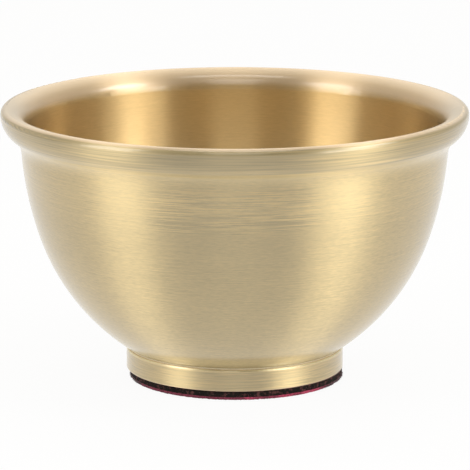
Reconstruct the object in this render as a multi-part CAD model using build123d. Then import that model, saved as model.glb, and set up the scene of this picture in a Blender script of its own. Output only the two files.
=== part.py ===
from build123d import *

import os
from math import cos, radians, sin, sqrt

# Brass offering bowl: a thin bowl with a flared lip, a foot ring brazed under it and a felt-faced pad.
# All sizes are in millimetres. Z is the axis of the bowl, and Z = 0 is the table that the pad stands on.

# Metal, overall
RIM_RADIUS = 40.0          # widest point of the lip
METAL_HEIGHT = 45.55       # underside of the foot ring to the crest of the lip
WALL = 1.0                 # thickness of the bowl's wall and bottom

# Lip
RIM_ROUND = 1.05           # rounding over the crest of the lip
LIP_ROUND = 4.6            # swelling outside of the lip, below its widest point
LIP_OVERHANG = 3.4         # how far the lip stands out past the neck
NECK_FILLET = 3.5          # hollow between the lip and the body
FLARE_ROUND = 3.5          # inside of the lip, from the wall out to the crest

# Body
NECK_LEAN = 2.5            # degrees that the wall leans in at the neck
UPPER_ROUND = 59.5         # profile radius of the upper wall
BELLY_DROP = 22.0          # crest of the lip down to where the wall starts to round in

# Foot ring and the brazing that holds it
FOOT_RADIUS = 18.7
FOOT_WALL = 2.4
FOOT_RECESS = 1.4          # underside of the ring up to the flat bottom of the bowl
SEAT_RISE = 0.86           # flat bottom of the bowl up to the inner edge of the brazing
FOOT_TOP_ROUND = 0.3
FOOT_BOTTOM_ROUND = 0.2
SOLDER_GAP = 0.1           # filler between the ring's seat and the bowl
SOLDER_LEG = 0.6           # filler fillet inside the ring
SOLDER_SETBACK = 0.15      # filler in the seam, seen from outside, stops this far inside the foot's wall

# Pad, a die-cut disc of three layers
PAD_INSET = 0.3            # edge of the pad inside the edge of the foot
PAD_SHIFT = 0.25           # the pad is stuck on slightly off-centre, towards +X
FELT_THICKNESS = 0.45
FELT_EDGE_ROUND = 0.2
BACKING_THICKNESS = 1.0
ADHESIVE_THICKNESS = 0.1

# Heights of the pad's layers and of the metal
backing_bottom = FELT_THICKNESS
adhesive_bottom = backing_bottom + BACKING_THICKNESS
foot_bottom = adhesive_bottom + ADHESIVE_THICKNESS
crest_height = foot_bottom + METAL_HEIGHT
rim_height = crest_height - RIM_ROUND


def point(radius, height):
    """A point of a turned section: its distance from the axis and its height."""
    return Vector(radius, height)


def along(start, towards, distance):
    """The point at a distance from start, in the direction of another point."""
    return start + (towards - start).normalized() * distance


def circles_meet(centre_a, radius_a, centre_b, radius_b, side):
    """Where two circles cross, to the left (side 1) or right (side -1) of the way from a to b."""
    way = centre_b - centre_a
    across = Vector(-way.Y, way.X).normalized()
    reach = (radius_a**2 - radius_b**2 + way.length**2) / (2 * way.length)
    offset = sqrt(radius_a**2 - reach**2)
    return along(centre_a, centre_b, reach) + across * (side * offset)


def arc(centre, start, end):
    """The shorter arc from start to end about a centre."""
    half_way = along(centre, (start + end) / 2, (start - centre).length)
    return ThreePointArc(start, half_way, end)


def turned(section):
    """The solid that a section sweeps around the axis of the bowl."""
    return revolve(Plane.XZ * section, Axis.Z)


# Upper wall: an arc that starts at the neck, just under the lip
neck = point(RIM_RADIUS - LIP_OVERHANG, rim_height - LIP_ROUND)
lean = radians(NECK_LEAN)
upper_centre = neck + point(-cos(lean), sin(lean)) * UPPER_ROUND
belly_height = crest_height - BELLY_DROP
belly_rise = upper_centre.Y - belly_height
belly = point(upper_centre.X + sqrt(UPPER_ROUND**2 - belly_rise**2), belly_height)

# Lower wall: an arc that carries on from the upper one, down to the inner edge of the brazing
foot_bore = FOOT_RADIUS - FOOT_WALL
bottom_height = foot_bottom + FOOT_RECESS
bend_start = point(foot_bore - SOLDER_LEG, bottom_height + SEAT_RISE)
belly_inward = (upper_centre - belly).normalized()
belly_to_bend = bend_start - belly
lower_round = belly_to_bend.length**2 / (2 * belly_to_bend.dot(belly_inward))
lower_centre = belly + belly_inward * lower_round

# Flat bottom: the lower wall bends level with it, just inside the brazing
bend_cosine = (lower_centre.Y - bend_start.Y) / lower_round
bend_round = SEAT_RISE / (1 - bend_cosine)
bend_centre = along(bend_start, lower_centre, bend_round)


def under_bowl(radius, gap=0.0):
    """A point at a radius on the lower wall's arc, or on the same arc a gap outside the metal."""
    arc_radius = lower_round + gap
    return point(radius, lower_centre.Y - sqrt(arc_radius**2 - (radius - lower_centre.X) ** 2))


# Foot ring: its seat is cut to the bowl's curve and ends in a rounded outer edge
ring_centre = under_bowl(FOOT_RADIUS - FOOT_TOP_ROUND, SOLDER_GAP + FOOT_TOP_ROUND)
seat_outer = along(lower_centre, ring_centre, lower_round + SOLDER_GAP)
seat_inner = under_bowl(foot_bore, SOLDER_GAP)

# Lip: its crest, its swelling outside and its flare inside
crest_centre = point(RIM_RADIUS - RIM_ROUND, rim_height)
widest = point(RIM_RADIUS, rim_height)
lip_centre = point(RIM_RADIUS - LIP_ROUND, rim_height)
neck_centre = circles_meet(
    lip_centre, LIP_ROUND + NECK_FILLET, upper_centre, UPPER_ROUND + NECK_FILLET, 1
)
flare_centre = circles_meet(
    upper_centre, UPPER_ROUND - WALL + FLARE_ROUND, crest_centre, FLARE_ROUND - RIM_ROUND, -1
)


def bowl_shell():
    """The bowl: outside from the lip down to the bottom, then inside from the bottom up to the lip."""
    lip_end = along(lip_centre, neck_centre, LIP_ROUND)
    wall_start = along(upper_centre, neck_centre, UPPER_ROUND)
    bend_end = point(bend_centre.X, bottom_height)
    bottom_axis = point(0, bottom_height)

    floor_axis = point(0, bottom_height + WALL)
    floor_end = bend_end + point(0, WALL)
    inner_bend_end = along(bend_start, lower_centre, WALL)
    inner_belly = along(belly, upper_centre, WALL)
    flare_start = along(upper_centre, flare_centre, UPPER_ROUND - WALL)
    flare_end = flare_centre + (crest_centre - flare_centre).normalized() * FLARE_ROUND

    outside = [
        arc(lip_centre, widest, lip_end),
        arc(neck_centre, lip_end, wall_start),
        arc(upper_centre, wall_start, belly),
        arc(lower_centre, belly, bend_start),
        arc(bend_centre, bend_start, bend_end),
        Line(bend_end, bottom_axis),
    ]
    inside = [
        Line(bottom_axis, floor_axis),
        Line(floor_axis, floor_end),
        arc(bend_centre, floor_end, inner_bend_end),
        arc(lower_centre, inner_bend_end, inner_belly),
        arc(upper_centre, inner_belly, flare_start),
        arc(flare_centre, flare_start, flare_end),
        arc(crest_centre, flare_end, widest),
    ]
    return turned(make_face(outside + inside))


def foot_ring():
    """The foot: a turned ring whose top is cut to the bowl's curve, with rounded outer edges."""
    wall_top = ring_centre + point(FOOT_TOP_ROUND, 0)
    base_outer = point(FOOT_RADIUS, foot_bottom)
    base_inner = point(foot_bore, foot_bottom)
    section = make_face([
        Line(base_inner, base_outer),
        Line(base_outer, wall_top),
        arc(ring_centre, wall_top, seat_outer),
        arc(lower_centre, seat_outer, seat_inner),
        Line(seat_inner, base_inner),
    ])
    bottom_edge = section.vertices().sort_by_distance(base_outer)[0]
    section = fillet(bottom_edge, FOOT_BOTTOM_ROUND)
    return turned(section)


def foot_solder():
    """The brazing: a film on the ring's seat, filling the seam outside and ending in a fillet inside."""
    bowl_outer = under_bowl(FOOT_RADIUS - SOLDER_SETBACK)
    ring_crown = ring_centre + point(0, FOOT_TOP_ROUND)
    fillet_foot = seat_inner - point(0, SOLDER_LEG)
    return turned(make_face([
        arc(lower_centre, bowl_outer, bend_start),
        Line(bend_start, fillet_foot),
        Line(fillet_foot, seat_inner),
        arc(lower_centre, seat_inner, seat_outer),
        arc(ring_centre, seat_outer, ring_crown),
        Line(ring_crown, bowl_outer),
    ]))


def pad_layer(bottom, thickness):
    """One layer of the pad, which all share one outline."""
    outline = Pos(PAD_SHIFT, 0, bottom) * Circle(FOOT_RADIUS - PAD_INSET)
    return extrude(outline, thickness)


def pad_felt():
    """The felt facing, worn round along its lower edge."""
    layer = pad_layer(0, FELT_THICKNESS)
    lower_edge = layer.edges().filter_by(GeomType.CIRCLE).sort_by(Axis.Z)[0]
    return fillet(lower_edge, FELT_EDGE_ROUND)


nodes = {
    "bowl_shell": bowl_shell(),
    "foot_ring": foot_ring(),
    "foot_solder": foot_solder(),
    "pad_adhesive": pad_layer(adhesive_bottom, ADHESIVE_THICKNESS),
    "pad_backing": pad_layer(backing_bottom, BACKING_THICKNESS),
    "pad_felt": pad_felt(),
}

os.makedirs("parts", exist_ok=True)
for name, solid in nodes.items():
    export_step(solid, f"parts/{name}.step")

print(f"overall height {crest_height:.2f} mm, rim diameter {2 * RIM_RADIUS:.2f} mm")
print(f"lower wall radius {lower_round:.2f} mm, bend to the bottom {bend_round:.2f} mm")
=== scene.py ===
import math
import random

import bpy
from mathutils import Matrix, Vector, noise


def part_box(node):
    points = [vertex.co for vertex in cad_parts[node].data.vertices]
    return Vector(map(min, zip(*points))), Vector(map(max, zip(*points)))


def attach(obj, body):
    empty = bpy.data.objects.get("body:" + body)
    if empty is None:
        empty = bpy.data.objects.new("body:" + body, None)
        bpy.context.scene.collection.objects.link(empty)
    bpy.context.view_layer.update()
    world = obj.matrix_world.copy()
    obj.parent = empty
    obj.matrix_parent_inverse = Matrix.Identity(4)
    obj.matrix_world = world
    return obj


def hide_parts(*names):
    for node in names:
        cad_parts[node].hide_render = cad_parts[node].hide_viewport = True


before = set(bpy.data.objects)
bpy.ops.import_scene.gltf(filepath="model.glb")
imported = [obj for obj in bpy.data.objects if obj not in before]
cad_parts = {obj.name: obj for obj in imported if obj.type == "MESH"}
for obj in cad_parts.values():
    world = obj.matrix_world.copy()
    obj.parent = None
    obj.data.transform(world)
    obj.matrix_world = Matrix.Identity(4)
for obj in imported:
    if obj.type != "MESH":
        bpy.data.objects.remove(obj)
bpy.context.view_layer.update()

# Looks of a brass offering bowl, and the studio it stands in. Sizes are in metres, and angles in degrees
# unless a comment says radians. The bowl's axis is Z, and the camera looks along +Y.

# Heights of the solids, which the looks follow
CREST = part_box("bowl_shell")[1].z
FOOT_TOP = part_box("foot_ring")[1].z

# Camera, fitted to the circles of the lip, the foot and the pad in the photograph
IMAGE_SIDE = 470           # pixels
FOCAL_PIXELS = 3809
SENSOR_WIDTH = 36.0        # millimetres, the unit of a lens
CAMERA_DISTANCE = 0.640    # from the axis, measured level
CAMERA_HEIGHT = 0.1634
CAMERA_PITCH = 12.244      # downwards
AXIS_OFFSET = 0.000045     # the camera stands this far to the right of the axis
NEAREST_SEEN = 0.01

# Studio: lamp panels by azimuth from the camera's side, positive to the right, and by the height of their
# middle. An upright panel has tilt 0, and one that faces down has tilt 90.
LAMP_PANELS = {
    "right_low": dict(
        azimuth=56, distance=0.60, level=0.15, tilt=0, width=0.32, length=0.30, radiance=2.9
    ),
    "right_high": dict(
        azimuth=73, distance=0.60, level=0.45, tilt=0, width=0.30, length=0.30, radiance=4.7
    ),
    "left_box": dict(
        azimuth=-62, distance=0.60, level=0.30, tilt=0, width=0.30, length=0.60, radiance=2.7
    ),
    "top_box": dict(
        azimuth=0, distance=0.12, level=0.60, tilt=90, width=0.36, length=0.08, radiance=3.4
    ),
    "front_box": dict(
        azimuth=0, distance=0.55, level=0.45, tilt=39, width=0.30, length=0.40, radiance=1.2
    ),
}
ROOM_LEVEL = 0.72
ROOM_TINT = (1.0, 0.958, 0.86)
# Soft patches of the room: direction, cosines where the patch starts and is full, and its gain
ROOM_PATCHES = [
    ((0.0, 0.64, 0.77), 0.70, 0.95, 0.70),
    ((0.0, -1.0, 0.0), 0.60, 0.95, -0.50),
    ((0.0, -0.64, 0.77), 0.70, 0.95, -0.35),
]
FLOOR_SIZE = 6.0
FLOOR_COLOUR = (0.86, 0.86, 0.86)
FLOOR_GLOW = 0.93          # share of even white in the floor, as the camera and the metal see it
GLOW_COLOUR = (1.0, 1.0, 1.0)

# Brass
OUTSIDE_BRASS = (0.675, 0.537, 0.278)
INSIDE_BRASS = (0.672, 0.492, 0.236)
# the paler polished colour is a painted highlight; the polish itself shows in the roughness
POLISHED_BRASS_PAINTED_HIGHLIGHT = (0.758, 0.578, 0.362)
OUTSIDE_ROUGHNESS = 0.55
INSIDE_ROUGHNESS = 0.36
FLARE_ROUGHNESS = 0.45
POLISHED_ROUGHNESS = 0.46
BRASS_ANISOTROPY = 0.95
QUARTER_TURN = 0.25
LACQUER = 1.0
LACQUER_ROUGHNESS = 0.18
LACQUER_IOR = 1.75
INSIDE_LEAN = 0.5          # how far facing up counts as inside
INSIDE_START = 0.2         # how far a surface faces away from the axis where the inside starts
INSIDE_FULL = -0.5         # and where it is wholly inside

# Noise: its usual range and middle, and how rough its finer layers are
NOISE_LOW = 0.3
NOISE_MIDDLE = 0.5
NOISE_HIGH = 0.7
NOISE_ROUGHNESS = 0.55

# Marks around the axis: thickness, length and depth of a line
MARK_RADIUS = 0.036        # marks have their stated length at this distance from the axis
SMALLEST_RADIUS = 1e-6     # keeps the angle about the axis defined in the middle of the bowl
BRUSH_LINE = 0.0002
BRUSH_LENGTH = 0.0012
BRUSH_DEPTH = 0.75
SCORE_LINE = 0.00014
SCORE_LENGTH = 0.009
LATHE_LINE = 0.0003
LATHE_LENGTH = 0.014
LATHE_DEPTH = 1.6
FOOT_LINE = 0.0002
FOOT_LENGTH = 0.010
FOOT_DEPTH = 1.7
DEEPEST_MARK = 0.4
MARK_SHADE = 0.75
MARK_ROUGHNESS = 0.25
MARK_BUMP = 0.35
MARK_RELIEF = 0.00002
POLISHED_MARKS = 0.3       # share of the marks' depth that is left on polished metal
INSIDE_MARKS = 0.4         # and on the inside of the bowl

# Patches of long strokes and faint clouds, both in lines and lengths of the strokes around them
PATCH_LINES = 12
PATCH_LENGTHS = 6
PATCH_START = 0.42         # noise where a patch starts and is full
PATCH_FULL = 0.62
PATCH_LEAST = 0.2          # share of the long strokes between the patches
PATCH_DEPTH = 0.7
CLOUD_LINES = 40
CLOUD_LENGTHS = 8
CLOUD_SHADE = 0.03

# The deepest strokes, in a band under the neck
SCORED_TOP = CREST - 0.0065
SCORED_BOTTOM = CREST - 0.0156
SCORED_FADE = 0.0026
SCORED_DEPTH = 4.6
SCORED_START = -0.90       # sine of the angle about the axis where they start, at both sides of the front
SCORED_FULL = -0.985       # and where they are deepest
SIDE_SCORES = 0.1          # share of their depth at the sides and the back

# Polish, by how far up a surface leans; it sets the roughness, and a painted highlight in the colour
POLISH_START = 0.38
POLISH_FULL = 0.68
POLISH_LEAN = 0.25         # the polish reaches further down the flare than down the outside
ROUNDED_START = 0.1        # on the foot's rounded edges, by how far up or down they lean
ROUNDED_FULL = 0.4

# Bands by height, most of them painted light and shade on the outside
LIP_START = CREST - 0.0056    # the brushed wall turns into the lip here
LIP_FADE = 0.0015
LIP_PAINTED_SHADE = -0.08             # painted shade: the lip is a little darker outside than the wall
FLARE_START = CREST - 0.0046  # the inside gets rougher up the flare, between these heights
FLARE_FULL = CREST - 0.0026
HOLLOW_TOP = CREST - 0.0051   # top of the hollow under the lip
HOLLOW_FADE = 0.0006
UNDERCUT = CREST - 0.0046     # a painted highlight: a pale line runs round where the lip turns under
UNDERCUT_WIDTH = 0.00035
UNDERCUT_PAINTED_HIGHLIGHT = 0.12
BAND_FULL = CREST - 0.0096    # painted light: the wall is palest from here up to the lip
BAND_START = CREST - 0.0181   # and starts to get paler here
BAND_PAINTED_LIGHT = 0.12
BELLY = CREST - 0.0181        # painted shade: the wall gets darker from here down to the foot
LOWER_PAINTED_SHADE = -0.08
SEAM_REACH = 0.0017           # painted shade in the crease darkens the bowl this far up from the foot
SEAM_PAINTED_SHADE = -0.30
FOOT_PAINTED_LIGHT = 0.08             # painted light: the foot is a little paler than the bowl
EDGE_PAINTED_HIGHLIGHT = 0.45             # and a painted highlight makes it paler still along its top edge
EDGE_START = FOOT_TOP - 0.0006
EDGE_FULL = FOOT_TOP - 0.0002

# Brazing and adhesive
BRAZING_COLOUR = (0.74, 0.67, 0.50)
BRAZING_GRAIN = 0.0006
BRAZING_CONTRAST = 0.04
ADHESIVE_COLOUR = (0.10, 0.042, 0.028)
ADHESIVE_GRAIN = 0.0005
ADHESIVE_CONTRAST = 0.45
DULL_ROUGHNESS = 0.6
GRAIN_RELIEF = 0.4         # height of the grain, as a share of its size

# Looks of the pad, with noise in cells per metre
FELT_COLOUR = (0.21, 0.028, 0.062)
# the next two colours are painted light and painted shade on the felt's edge
LIT_FELT_COLOUR = (0.47, 0.05, 0.118)
SHADED_FELT_COLOUR = (0.06, 0.016, 0.026)
FELT_CELLS = 3000.0
FELT_PATCH_CELLS = 420.0
FELT_PATCH_DEPTH = 0.5     # how far the patches break up the edges of the painted light and the painted shade on the felt
FELT_CONTRAST = 0.4
FELT_SHEEN = 0.3
FELT_SHEEN_ROUGHNESS = 0.5
LIT_FELT_SIDE = 34             # azimuth of the painted light, the brightest part of the felt's edge
LIT_FELT_START = 0.88          # cosine of the angle from there where the painted light starts
LIT_FELT_FULL = 0.98
SHADED_FELT_START = 0.76        # cosine of the angle from the left or the right where the painted shade starts
SHADED_FELT_FULL = 0.90
BACKING_COLOUR = (0.012, 0.009, 0.008)
SPECK_COLOUR = (0.11, 0.045, 0.045)
FOAM_CELLS = 3300.0
FOAM_CONTRAST = 0.45
FOAM_SPECULAR = 0.2
DUST_CELLS = 1600.0
SPECK_START = 0.52
SPECK_FULL = 0.70
PAD_ROUGHNESS = 0.95
PAD_BUMP = 0.8
PAD_RELIEF = 0.0001

# Shape of the pad's layers
PAD_SEGMENTS = 1024
PAD_STEPS = 6              # steps round the lower edge of a layer, and up its side
PAD_CORE = 0.5             # share of the radius where a layer's first and last rings are
PAD_EDGE = 0.9             # share of the radius where its roughened edge starts
PAD_TRIM = 0.00010         # the ragged edge stands in from the solid's by this much, on average
FELT_EDGE_ROUND = 0.00008
FELT_FUZZ = 0.00018
FELT_LIFT = 0.00020        # how far the lower edge of the felt curls up in places
FELT_SEED = 7.0
BACKING_EDGE_ROUND = 0.0001
BACKING_FUZZ = 0.00010
BACKING_LIFT = 0.00008
BACKING_SEED = 3.0
CURL_SEED = 20             # the curl is drawn apart from the ragged edge by this
# Layers of a ragged edge: cells across the pad's radius, cells in a metre of height, and share
RAGGED_LAYERS = [
    (12, 900, 0.55),
    (60, 5000, 0.45),
]

# Loose fibres of the felt
FIBRE_SEED = 11
FIBRE_SIDES = 3
FIBRE_RADIUS = 0.000016
FIBRE_TAPER = 0.25         # share of the radius lost from one point of a fibre to the next
FIBRE_CLEARANCE = 0.0000016  # no fibre comes closer to the table than this
EDGE_FIBRES = 1100
TUFTS = 90
TUFT_FIBRES = 9
TUFT_SPREAD = 0.008        # radians about the axis
ROOT_HEIGHT = (0.1, 0.9)   # range of a fibre's root, as a share of the felt's thickness
FIBRE_REACH = (0.00005, 0.00022)
FIBRE_SWEEP = 3.0          # most that a fibre runs sideways, against its reach
TIP_HEIGHT = (0.1, 0.6)    # range of its tip, as a share of its root's height
MIDDLE_REACH = 0.4         # its middle point, as shares of its reach, sweep and root's height
MIDDLE_SWEEP = 0.5
MIDDLE_HEIGHT = 0.8
STRAY_FIBRES = 260
STRAY_RISE = (0.0002, 0.0008)
STRAY_SWEEP = 0.03         # radians about the axis, at most
STRAY_GAP = 0.00002        # stray fibres stand out from the pad's edge by this much, on average
STRAY_ROOT = 0.8           # height of their roots, as a share of the felt's thickness
STRAY_MIDDLE_SWEEP = 0.4
STRAY_MIDDLE_RISE = 0.5


def new_material(name):
    """An empty node material and its tree."""
    material = bpy.data.materials.new(name)
    material.use_nodes = True
    material.node_tree.nodes.clear()
    return material, material.node_tree


def add(tree, kind, settings=None, **inputs):
    """A node with its settings, and its inputs set to values or linked to sockets.

    An input is given by its name, with _ for a space, or by its number after an i.
    """
    node = tree.nodes.new(kind)
    for key, value in (settings or {}).items():
        setattr(node, key, value)
    for key, value in inputs.items():
        name = int(key[1:]) if key[1:].isdigit() else key.replace("_", " ")
        socket = node.inputs[name]
        if isinstance(value, bpy.types.NodeSocket):
            tree.links.new(value, socket)
        else:
            socket.default_value = value
    return node


def maths(tree, operation, a, b=0.0, c=0.0):
    """One step of arithmetic."""
    return add(tree, "ShaderNodeMath", {"operation": operation}, i0=a, i1=b, i2=c).outputs[0]


def ease(tree, value, start, end, low, high):
    """A value that goes smoothly from low to high while another goes from start to end."""
    node = add(
        tree,
        "ShaderNodeMapRange",
        {"interpolation_type": "SMOOTHSTEP"},
        Value=value,
        From_Min=start,
        From_Max=end,
        To_Min=low,
        To_Max=high,
    )
    return node.outputs["Result"]


def between(tree, value, low, high, soft):
    """1 where a value is between two limits, and 0 outside them, with soft ends inside the limits."""
    rising = ease(tree, value, low, low + soft, 0.0, 1.0)
    falling = ease(tree, value, high, high - soft, 0.0, 1.0)
    return maths(tree, "MULTIPLY", rising, falling)


def about_one(tree, value, contrast):
    """A noise value spread over a range about 1."""
    node = add(
        tree,
        "ShaderNodeMapRange",
        None,
        Value=value,
        From_Min=NOISE_LOW,
        From_Max=NOISE_HIGH,
        To_Min=1 - contrast,
        To_Max=1 + contrast,
    )
    return node.outputs["Result"]


def blended(tree, factor, first, second):
    """A value part of the way from a first to a second one."""
    return add(tree, "ShaderNodeMix", None, Factor=factor, i2=first, i3=second).outputs[0]


def mixed(tree, factor, first, second):
    """A colour part of the way from a first to a second one."""
    node = add(tree, "ShaderNodeMix", {"data_type": "RGBA"}, Factor=factor, i6=first, i7=second)
    return node.outputs[2]


def scaled(tree, colour, level):
    """A colour made lighter or darker."""
    return add(tree, "ShaderNodeVectorMath", {"operation": "SCALE"}, i0=colour, Scale=level).outputs[0]


def grain(tree, cells, detail):
    """Mottled noise with a number of cells per metre."""
    place = add(tree, "ShaderNodeTexCoord").outputs["Object"]
    return add(tree, "ShaderNodeTexNoise", None, Vector=place, Scale=cells, Detail=detail).outputs["Fac"]


def surface(tree, height, strength, relief, **looks):
    """The shader of a material, with its looks and a relief that follows a height."""
    bump = add(tree, "ShaderNodeBump", None, Strength=strength, Distance=relief, Height=height)
    shader = add(tree, "ShaderNodeBsdfPrincipled", None, Normal=bump.outputs[0], **looks)
    add(tree, "ShaderNodeOutputMaterial", None, Surface=shader.outputs[0])


def turned_coordinates(tree):
    """Cosine and sine of the angle about the axis, then radius and height."""
    place = add(tree, "ShaderNodeTexCoord").outputs["Object"]
    x, y, z = add(tree, "ShaderNodeSeparateXYZ", None, Vector=place).outputs
    square = maths(tree, "ADD", maths(tree, "MULTIPLY", x, x), maths(tree, "MULTIPLY", y, y))
    radius = maths(tree, "MAXIMUM", maths(tree, "SQRT", square), SMALLEST_RADIUS)
    return maths(tree, "DIVIDE", x, radius), maths(tree, "DIVIDE", y, radius), radius, z


def surface_turn(tree, cosine, sine):
    """How far a surface faces up, and how far it faces away from the axis."""
    normal = add(tree, "ShaderNodeNewGeometry").outputs["Normal"]
    upward = add(tree, "ShaderNodeSeparateXYZ", None, Vector=normal).outputs["Z"]
    outward = add(tree, "ShaderNodeCombineXYZ", None, X=cosine, Y=sine).outputs[0]
    facing = add(tree, "ShaderNodeVectorMath", {"operation": "DOT_PRODUCT"}, i0=normal, i1=outward)
    return upward, facing.outputs["Value"]


def inside_share(tree, upward, facing):
    """1 on the inside of the bowl, and 0 on its outside."""
    away = maths(tree, "MULTIPLY_ADD", upward, -INSIDE_LEAN, facing)
    return ease(tree, away, INSIDE_START, INSIDE_FULL, 0.0, 1.0)


def lip_share(tree, height):
    """1 on the lip, and 0 on the wall below it."""
    return ease(tree, height, LIP_START, LIP_START + LIP_FADE, 0.0, 1.0)


def lathe_noise(tree, coordinates, line, length, detail=2.0):
    """Noise drawn out around the axis: lines of a thickness, broken up over a length."""
    cosine, sine, radius, height = coordinates
    turns = MARK_RADIUS / length
    vector = add(
        tree,
        "ShaderNodeCombineXYZ",
        None,
        X=maths(tree, "MULTIPLY", cosine, turns),
        Y=maths(tree, "MULTIPLY", sine, turns),
        Z=maths(tree, "DIVIDE", height, line),
    )
    made = add(
        tree,
        "ShaderNodeTexNoise",
        {"noise_dimensions": "4D"},
        Vector=vector.outputs[0],
        W=maths(tree, "DIVIDE", radius, line),
        Scale=1.0,
        Detail=detail,
        Roughness=NOISE_ROUGHNESS,
    )
    return made.outputs["Fac"]


def lathe_marks(tree, coordinates, line, length, detail=2.0):
    """Lines around the axis that stand out and in, about 0."""
    made = lathe_noise(tree, coordinates, line, length, detail)
    return maths(tree, "SUBTRACT", made, NOISE_MIDDLE)


def score_depth(tree, coordinates, line, length, outside):
    """Depth of the long strokes: in patches all over, and most under the neck at the front."""
    _, sine, _, height = coordinates
    patches = lathe_noise(tree, coordinates, line * PATCH_LINES, length * PATCH_LENGTHS)
    patchy = ease(tree, patches, PATCH_START, PATCH_FULL, PATCH_LEAST, 1.0)
    band = between(tree, height, SCORED_BOTTOM, SCORED_TOP, SCORED_FADE)
    front = ease(tree, sine, SCORED_START, SCORED_FULL, SIDE_SCORES, 1.0)
    deep = maths(tree, "MULTIPLY", maths(tree, "MULTIPLY", band, front), SCORED_DEPTH)
    deep = maths(tree, "MULTIPLY", deep, outside)
    return maths(tree, "MULTIPLY_ADD", patchy, PATCH_DEPTH, deep)


def brush_marks(tree, coordinates, line, length, brushed, outside):
    """Marks about 0: short and long strokes on the wall or the foot, and turning lines outside the lip."""
    height = coordinates[3]
    strokes = lathe_marks(tree, coordinates, line, length)
    scores = lathe_marks(tree, coordinates, SCORE_LINE, SCORE_LENGTH, detail=1.0)
    lines = lathe_marks(tree, coordinates, LATHE_LINE, LATHE_LENGTH, detail=1.0)
    scored = score_depth(tree, coordinates, line, length, outside)
    marks = maths(tree, "MULTIPLY_ADD", scores, scored, maths(tree, "MULTIPLY", strokes, brushed))
    turned = maths(tree, "MULTIPLY", lines, LATHE_DEPTH)
    return blended(tree, maths(tree, "MULTIPLY", lip_share(tree, height), outside), marks, turned)


def worn_marks(tree, marks, inside, polished):
    """Marks that are shallower on polished metal and inside the bowl, and nowhere too deep."""
    depth = maths(
        tree,
        "MULTIPLY",
        ease(tree, polished, 0.0, 1.0, 1.0, POLISHED_MARKS),
        ease(tree, inside, 0.0, 1.0, 1.0, INSIDE_MARKS),
    )
    worn = maths(tree, "MULTIPLY", marks, depth)
    return maths(tree, "MINIMUM", maths(tree, "MAXIMUM", worn, -DEEPEST_MARK), DEEPEST_MARK)


def lip_polish(tree, height, upward, facing):
    """1 on the flare and the crest of the lip, and 0 on the brushed wall and under the lip."""
    leaning = maths(tree, "MULTIPLY_ADD", facing, -POLISH_LEAN, upward)
    polished = ease(tree, leaning, POLISH_START, POLISH_FULL, 0.0, 1.0)
    return maths(tree, "MULTIPLY", lip_share(tree, height), polished)


def edge_polish(tree, _height, upward, _facing):
    """1 on the rounded edges of the foot, and 0 on its wall."""
    return ease(tree, maths(tree, "ABSOLUTE", upward), ROUNDED_START, ROUNDED_FULL, 0.0, 1.0)


def bowl_painted_bands(tree, height):
    """Painted light and shade on the bowl's outside by height: shaded lip, highlight at the undercut, pale
    band, shaded lower wall and shade in the crease at the seam.
    """
    lip = ease(tree, height, HOLLOW_TOP, HOLLOW_TOP + HOLLOW_FADE, 0.0, LIP_PAINTED_SHADE)
    undercut = between(tree, height, UNDERCUT - UNDERCUT_WIDTH, UNDERCUT + UNDERCUT_WIDTH, UNDERCUT_WIDTH)
    lip = maths(tree, "MULTIPLY_ADD", undercut, UNDERCUT_PAINTED_HIGHLIGHT, lip)
    rise = ease(tree, height, BAND_START, BAND_FULL, 0.0, BAND_PAINTED_LIGHT)
    fall = ease(tree, height, HOLLOW_TOP, HOLLOW_TOP + HOLLOW_FADE, 1.0, 0.0)
    band = maths(tree, "MULTIPLY", rise, fall)
    lower = ease(tree, height, FOOT_TOP, BELLY, LOWER_PAINTED_SHADE, 0.0)
    seam = ease(tree, height, FOOT_TOP, FOOT_TOP + SEAM_REACH, SEAM_PAINTED_SHADE, 0.0)
    return maths(tree, "ADD", maths(tree, "ADD", band, lip), maths(tree, "ADD", lower, seam))


def foot_painted_bands(tree, height):
    """Painted light on the foot's outside: even, and a painted highlight along the edge beside the seam.
    """
    return ease(tree, height, EDGE_START, EDGE_FULL, FOOT_PAINTED_LIGHT, FOOT_PAINTED_LIGHT + EDGE_PAINTED_HIGHLIGHT)


def brass_colour(tree, inside, polished, shade):
    """Brass that is greener outside and golden inside, paler by a painted highlight where it is polished,
    with its shade.
    """
    tone = mixed(tree, inside, (*OUTSIDE_BRASS, 1.0), (*INSIDE_BRASS, 1.0))
    tone = mixed(tree, polished, tone, (*POLISHED_BRASS_PAINTED_HIGHLIGHT, 1.0))
    return scaled(tree, tone, shade)


def brass_roughness(tree, height, inside, polished, marks):
    """Roughness of the outside, the inside, the flare and the polished metal, changed by the marks."""
    inner = ease(tree, height, FLARE_START, FLARE_FULL, INSIDE_ROUGHNESS, FLARE_ROUGHNESS)
    plain = blended(tree, inside, OUTSIDE_ROUGHNESS, inner)
    plain = blended(tree, polished, plain, POLISHED_ROUGHNESS)
    return maths(tree, "MULTIPLY_ADD", marks, MARK_ROUGHNESS, plain)


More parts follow.
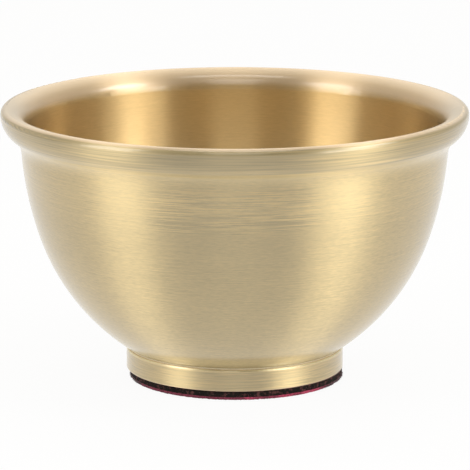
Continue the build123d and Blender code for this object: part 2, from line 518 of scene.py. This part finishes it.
def brushed_brass(name, line, length, brushed, polish, painted_bands):
    """Satin brass under lacquer, brushed around the axis, with polished edges that carry a painted
    highlight, and bands of painted light and shade.
    """
    material, tree = new_material(name)
    coordinates = turned_coordinates(tree)
    cosine, sine, _, height = coordinates
    upward, facing = surface_turn(tree, cosine, sine)
    inside = inside_share(tree, upward, facing)
    outside = maths(tree, "SUBTRACT", 1.0, inside)
    polished = polish(tree, height, upward, facing)
    marks = brush_marks(tree, coordinates, line, length, brushed, outside)
    marks = worn_marks(tree, marks, inside, polished)
    clouds = lathe_noise(tree, coordinates, line * CLOUD_LINES, length * CLOUD_LENGTHS)
    # painted light and shade in bands by height, on the outside only
    painted = maths(tree, "MULTIPLY", painted_bands(tree, height), outside)
    shade = maths(tree, "MULTIPLY_ADD", marks, MARK_SHADE, about_one(tree, clouds, CLOUD_SHADE))
    around = add(tree, "ShaderNodeCombineXYZ", None, X=maths(tree, "MULTIPLY", sine, -1.0), Y=cosine)
    surface(
        tree,
        marks,
        MARK_BUMP,
        MARK_RELIEF,
        Base_Color=brass_colour(tree, inside, polished, maths(tree, "ADD", shade, painted)),
        Metallic=1.0,
        Roughness=brass_roughness(tree, height, inside, polished, marks),
        Anisotropic=BRASS_ANISOTROPY,
        Anisotropic_Rotation=QUARTER_TURN,
        Tangent=around.outputs[0],
        Coat_Weight=LACQUER,
        Coat_Roughness=LACQUER_ROUGHNESS,
        Coat_IOR=LACQUER_IOR,
    )
    return material


def plain_material(name, colour, size, contrast, metallic=0.0):
    """A dull material with a mottled grain of a size."""
    material, tree = new_material(name)
    mottle = grain(tree, 1 / size, detail=4.0)
    surface(
        tree,
        mottle,
        contrast,
        size * GRAIN_RELIEF,
        Base_Color=scaled(tree, colour, about_one(tree, mottle, contrast)),
        Metallic=metallic,
        Roughness=DULL_ROUGHNESS,
    )
    return material


def felt_material():
    """Maroon felt, mottled, with painted light at one side and painted shade at the left and right."""
    material, tree = new_material("maroon_felt")
    cosine, sine, _, _ = turned_coordinates(tree)
    mottle = grain(tree, FELT_CELLS, detail=3.0)
    patches = grain(tree, FELT_PATCH_CELLS, detail=2.0)
    uneven = maths(tree, "MULTIPLY", maths(tree, "SUBTRACT", patches, NOISE_MIDDLE), FELT_PATCH_DEPTH)
    # painted light on the felt's edge at the front right, and painted shade at its left and right
    lit_felt_turn = math.radians(LIT_FELT_SIDE)
    worn = maths(tree, "MULTIPLY", cosine, math.sin(lit_felt_turn))
    worn = maths(tree, "SUBTRACT", worn, maths(tree, "MULTIPLY", sine, math.cos(lit_felt_turn)))
    worn = ease(tree, maths(tree, "ADD", worn, uneven), LIT_FELT_START, LIT_FELT_FULL, 0.0, 1.0)
    sideways = maths(tree, "ADD", maths(tree, "ABSOLUTE", cosine), uneven)
    shaded_felt = ease(tree, sideways, SHADED_FELT_START, SHADED_FELT_FULL, 0.0, 1.0)
    colour = mixed(tree, worn, (*FELT_COLOUR, 1.0), (*LIT_FELT_COLOUR, 1.0))
    colour = mixed(tree, shaded_felt, colour, (*SHADED_FELT_COLOUR, 1.0))
    surface(
        tree,
        mottle,
        PAD_BUMP,
        PAD_RELIEF,
        Base_Color=scaled(tree, colour, about_one(tree, mottle, FELT_CONTRAST)),
        Roughness=PAD_ROUGHNESS,
        Sheen_Weight=FELT_SHEEN,
        Sheen_Roughness=FELT_SHEEN_ROUGHNESS,
    )
    return material


def foam_material():
    """Black foam with pale specks of dust and cut fibre."""
    material, tree = new_material("black_foam")
    mottle = grain(tree, FOAM_CELLS, detail=4.0)
    dust = grain(tree, DUST_CELLS, detail=2.0)
    specks = ease(tree, dust, SPECK_START, SPECK_FULL, 0.0, 1.0)
    foam = scaled(tree, BACKING_COLOUR, about_one(tree, mottle, FOAM_CONTRAST))
    surface(
        tree,
        mottle,
        PAD_BUMP,
        PAD_RELIEF,
        Base_Color=mixed(tree, specks, foam, (*SPECK_COLOUR, 1.0)),
        Roughness=PAD_ROUGHNESS,
        Specular_IOR_Level=FOAM_SPECULAR,
    )
    return material


def floor_material():
    """A pale floor that stays near white where the camera or the metal sees it, and takes a shadow."""
    material, tree = new_material("pale_floor")
    path = add(tree, "ShaderNodeLightPath")
    seen = maths(tree, "MAXIMUM", path.outputs["Is Camera Ray"], path.outputs["Is Glossy Ray"])
    seen = maths(tree, "MAXIMUM", seen, path.outputs["Is Transmission Ray"])
    share = maths(tree, "MULTIPLY", seen, FLOOR_GLOW)
    lit = add(tree, "ShaderNodeBsdfDiffuse", None, Color=(*FLOOR_COLOUR, 1.0))
    glow = add(tree, "ShaderNodeEmission", None, Color=(*GLOW_COLOUR, 1.0), Strength=1.0)
    both = add(tree, "ShaderNodeMixShader", None, Fac=share, i1=lit.outputs[0], i2=glow.outputs[0])
    add(tree, "ShaderNodeOutputMaterial", None, Surface=both.outputs[0])
    return material


def dress(node, material):
    """Puts a material on a CAD node."""
    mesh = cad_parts[node].data
    mesh.materials.clear()
    mesh.materials.append(material)


def mesh_piece(name, verts, faces, material):
    """A smooth mesh that rides on the bowl."""
    mesh = bpy.data.meshes.new(name)
    mesh.from_pydata(verts, [], faces)
    mesh.update()
    mesh.materials.append(material)
    for face in mesh.polygons:
        face.use_smooth = True
    piece = bpy.data.objects.new(name, mesh)
    bpy.context.scene.collection.objects.link(piece)
    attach(piece, "root")
    return piece


def tube_faces(first, rings, sides):
    """Faces of a closed tube whose rings of vertices follow one another, from a first vertex on."""
    faces = []
    last = first + sides * (rings - 1)
    for start in range(first, last, sides):
        for k in range(sides):
            after = (k + 1) % sides
            faces.append((start + k, start + after, start + after + sides, start + k + sides))
    faces.append(tuple(reversed(range(first, first + sides))))
    faces.append(tuple(range(last, last + sides)))
    return faces


def round_point(centre, radius, angle, height):
    """A point at a radius and a height round the pad's centre."""
    return Vector((centre.x + radius * math.cos(angle), centre.y + radius * math.sin(angle), height))


def pad_outline(node):
    """Centre, trimmed radius, bottom and top of a layer of the pad."""
    low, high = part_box(node)
    return (low + high) / 2, (high.x - low.x) / 2 - PAD_TRIM, low.z, high.z


def ragged(angle, height, seed):
    """How far a fibrous or foamy edge stands in or out at a place round it, from -1 to 1."""
    stands = 0.0
    for across, upward, share in RAGGED_LAYERS:
        spot = Vector((math.cos(angle) * across, math.sin(angle) * across, height * upward + seed))
        stands += share * noise.noise(spot)
    return stands


def pad_profile(radius, bottom, top, rounding):
    """Radius and height along the section of a pad layer, from its underside round the edge to its top."""
    points = [(radius * PAD_CORE, bottom), (radius * PAD_EDGE, bottom)]
    for k in range(PAD_STEPS + 1):
        angle = math.pi / 2 * k / PAD_STEPS
        out = radius - rounding + rounding * math.sin(angle)
        points.append((out, bottom + rounding - rounding * math.cos(angle)))
    for k in range(1, PAD_STEPS):
        points.append((radius, bottom + rounding + (top - bottom - rounding) * k / PAD_STEPS))
    return points + [(radius, top), (radius * PAD_EDGE, top), (radius * PAD_CORE, top)]


def pad_piece(node, name, rounding, fuzz, lift, material, seed):
    """A layer of the pad with a roughened edge that curls up in places, in the place of its CAD disc."""
    centre, radius, bottom, top = pad_outline(node)
    profile = pad_profile(radius, bottom, top, rounding)
    verts = []
    for out, height in profile:
        edge = max(0.0, (out / radius - PAD_EDGE) / (1 - PAD_EDGE))
        curl = lift * edge * (top - height) / (top - bottom)
        for k in range(PAD_SEGMENTS):
            angle = 2 * math.pi * k / PAD_SEGMENTS
            reach = out + fuzz * edge * ragged(angle, height, seed)
            rise = curl * max(0.0, ragged(angle, bottom, seed + CURL_SEED))
            verts.append(round_point(centre, reach, angle, height + rise))
    faces = tube_faces(0, len(profile), PAD_SEGMENTS)
    piece = mesh_piece(name, verts, faces, material)
    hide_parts(node)
    return piece


def edge_fibres(centre, radius, top, draw):
    """Three points for each fibre that hangs from the felt's edge, alone or in a tuft."""
    tufts = [draw.uniform(0, 2 * math.pi) for _ in range(TUFTS)]
    starts = [draw.uniform(0, 2 * math.pi) for _ in range(EDGE_FIBRES)]
    starts += [tuft + draw.gauss(0, TUFT_SPREAD) for tuft in tufts for _ in range(TUFT_FIBRES)]
    paths = []
    for angle in starts:
        root = draw.uniform(*ROOT_HEIGHT) * top
        reach = draw.uniform(*FIBRE_REACH)
        sweep = draw.uniform(-FIBRE_SWEEP, FIBRE_SWEEP) * reach / radius
        tip = draw.uniform(*TIP_HEIGHT) * root
        middle = radius + reach * MIDDLE_REACH
        paths.append([
            round_point(centre, radius - 2 * FELT_FUZZ, angle, root),
            round_point(centre, middle, angle + sweep * MIDDLE_SWEEP, root * MIDDLE_HEIGHT),
            round_point(centre, radius + reach, angle + sweep, tip),
        ])
    return paths


def stray_fibres(centre, radius, top, draw):
    """Three points for each stray fibre that lies up over the foam."""
    paths = []
    for _ in range(STRAY_FIBRES):
        angle = draw.uniform(0, 2 * math.pi)
        rise = draw.uniform(*STRAY_RISE)
        sweep = draw.uniform(-STRAY_SWEEP, STRAY_SWEEP)
        out = radius + STRAY_GAP
        paths.append([
            round_point(centre, radius - FELT_FUZZ, angle, top * STRAY_ROOT),
            round_point(centre, out, angle + sweep * STRAY_MIDDLE_SWEEP, top + rise * STRAY_MIDDLE_RISE),
            round_point(centre, out, angle + sweep, top + rise),
        ])
    return paths


def fibre_ring(centre, spot, thick):
    """Vertices round one point of a fibre, kept clear of the table."""
    side = Vector((centre.y - spot.y, spot.x - centre.x, 0)).normalized()
    ring = []
    for k in range(FIBRE_SIDES):
        turn = 2 * math.pi * k / FIBRE_SIDES
        corner = spot + side * (thick * math.cos(turn)) + Vector((0, 0, thick * math.sin(turn)))
        ring.append((corner.x, corner.y, max(corner.z, FIBRE_CLEARANCE)))
    return ring


def fibres(node, name, material, seed):
    """Loose fibres of a pad layer, each a thin tapered tube."""
    draw = random.Random(seed)
    centre, radius, _, top = pad_outline(node)
    paths = edge_fibres(centre, radius, top, draw) + stray_fibres(centre, radius, top, draw)
    verts = []
    faces = []
    for path in paths:
        faces += tube_faces(len(verts), len(path), FIBRE_SIDES)
        for step, spot in enumerate(path):
            verts += fibre_ring(centre, spot, FIBRE_RADIUS * (1 - FIBRE_TAPER * step))
    return mesh_piece(name, verts, faces, material)


def studio_camera():
    """The camera at the photograph's place."""
    camera_data = bpy.data.cameras.new("camera")
    camera_data.sensor_width = SENSOR_WIDTH
    camera_data.lens = FOCAL_PIXELS / IMAGE_SIDE * SENSOR_WIDTH
    camera_data.clip_start = NEAREST_SEEN
    camera = bpy.data.objects.new("camera", camera_data)
    camera.location = (AXIS_OFFSET, -CAMERA_DISTANCE, CAMERA_HEIGHT)
    camera.rotation_euler = (math.radians(90 - CAMERA_PITCH), 0, 0)
    bpy.context.scene.collection.objects.link(camera)
    bpy.context.scene.camera = camera


def lamp_panel(name, azimuth, distance, level, tilt, width, length, radiance):
    """A soft lamp that is turned to the bowl's axis and tilted down by an angle."""
    lamp_data = bpy.data.lights.new(name, "AREA")
    lamp_data.shape = "RECTANGLE"
    lamp_data.size = width
    lamp_data.size_y = length
    lamp_data.energy = radiance * math.pi * width * length
    lamp = bpy.data.objects.new(name, lamp_data)
    turn = math.radians(azimuth)
    lamp.location = (math.sin(turn) * distance, -math.cos(turn) * distance, level)
    lamp.rotation_euler = (math.radians(90 - tilt), 0, turn)
    lamp.visible_camera = False
    bpy.context.scene.collection.objects.link(lamp)


def studio_world():
    """The room: brighter high up behind the bowl, and darker behind and above the camera."""
    world = bpy.data.worlds.new("studio")
    world.use_nodes = True
    tree = world.node_tree
    tree.nodes.clear()
    way = add(tree, "ShaderNodeTexCoord").outputs["Generated"]
    level = ROOM_LEVEL
    for direction, start, full, gain in ROOM_PATCHES:
        near = add(tree, "ShaderNodeVectorMath", {"operation": "DOT_PRODUCT"}, i0=way, i1=direction)
        level = maths(tree, "ADD", ease(tree, near.outputs["Value"], start, full, 0.0, gain), level)
    light = add(tree, "ShaderNodeBackground", None, Color=(*ROOM_TINT, 1.0), Strength=level)
    add(tree, "ShaderNodeOutputWorld", None, Surface=light.outputs[0])
    bpy.context.scene.world = world


def studio_floor():
    """The pale floor that the bowl stands on."""
    half = FLOOR_SIZE / 2
    corners = [(-half, -half, 0), (half, -half, 0), (half, half, 0), (-half, half, 0)]
    mesh = bpy.data.meshes.new("floor")
    mesh.from_pydata(corners, [], [(0, 1, 2, 3)])
    mesh.materials.append(floor_material())
    floor = bpy.data.objects.new("floor", mesh)
    bpy.context.scene.collection.objects.link(floor)


# Metal
bowl_look = brushed_brass("bowl_brass", BRUSH_LINE, BRUSH_LENGTH, BRUSH_DEPTH, lip_polish, bowl_painted_bands)
foot_look = brushed_brass("foot_brass", FOOT_LINE, FOOT_LENGTH, FOOT_DEPTH, edge_polish, foot_painted_bands)
brazing_look = plain_material("brazing", BRAZING_COLOUR, BRAZING_GRAIN, BRAZING_CONTRAST, metallic=1.0)
dress("bowl_shell", bowl_look)
dress("foot_ring", foot_look)
dress("foot_solder", brazing_look)

# Pad
felt_look = felt_material()
foam_look = foam_material()
dress("pad_adhesive", plain_material("adhesive", ADHESIVE_COLOUR, ADHESIVE_GRAIN, ADHESIVE_CONTRAST))
backing = pad_piece(
    "pad_backing",
    "black_backing",
    BACKING_EDGE_ROUND,
    BACKING_FUZZ,
    BACKING_LIFT,
    foam_look,
    BACKING_SEED,
)
felt = pad_piece(
    "pad_felt",
    "maroon_felt",
    FELT_EDGE_ROUND,
    FELT_FUZZ,
    FELT_LIFT,
    felt_look,
    FELT_SEED,
)
felt_fibres = fibres("pad_felt", "felt_fibres", felt_look, FIBRE_SEED)

# Studio
studio_camera()
studio_world()
studio_floor()
for panel_name, panel in LAMP_PANELS.items():
    lamp_panel(panel_name, **panel)
bpy.context.scene.view_settings.view_transform = "Standard"
